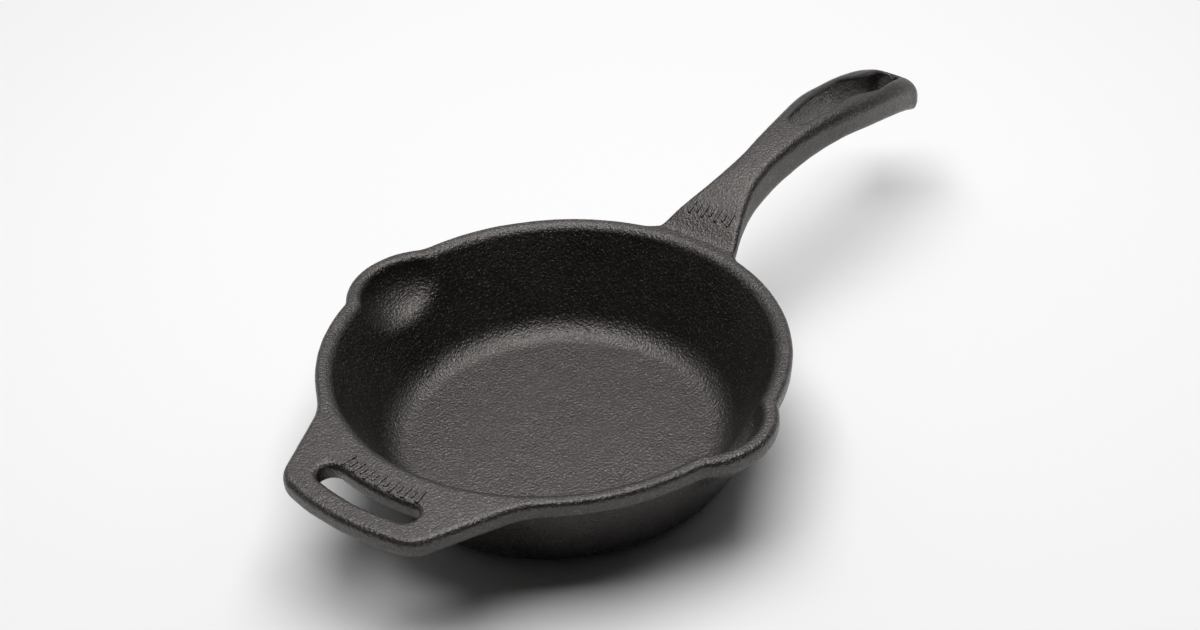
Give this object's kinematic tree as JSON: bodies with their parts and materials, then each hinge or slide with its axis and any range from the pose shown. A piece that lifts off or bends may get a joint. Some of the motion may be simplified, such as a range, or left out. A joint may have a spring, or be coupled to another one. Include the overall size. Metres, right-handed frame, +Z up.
{
  "type": "cast iron skillet",
  "caption": "Round cast skillet with sloping walls, pour spouts on opposite sides, a long arched handle with a loop opening, and a flat slotted helper handle.",
  "frame": {"origin": "centre of the flat base underside, the face that stands on the hob", "axes": "+Z up out of the pan, +X along the long handle, -X to the helper handle, spouts at +Y and -Y"},
  "size_m": [0.3248, 0.173, 0.0591],
  "materials": {
    "bowl_iron": "seasoned black-grey iron with a fine sand-cast grain",
    "long_handle_iron": "seasoned charcoal iron with a fine sand-cast grain",
    "helper_handle_iron": "seasoned charcoal iron with a fine sand-cast grain"
  },
  "bodies": {
    "root": {"pan_bowl": "bowl_iron", "long_handle": "long_handle_iron", "helper_handle": "helper_handle_iron"}
  },
  "joints": []
}
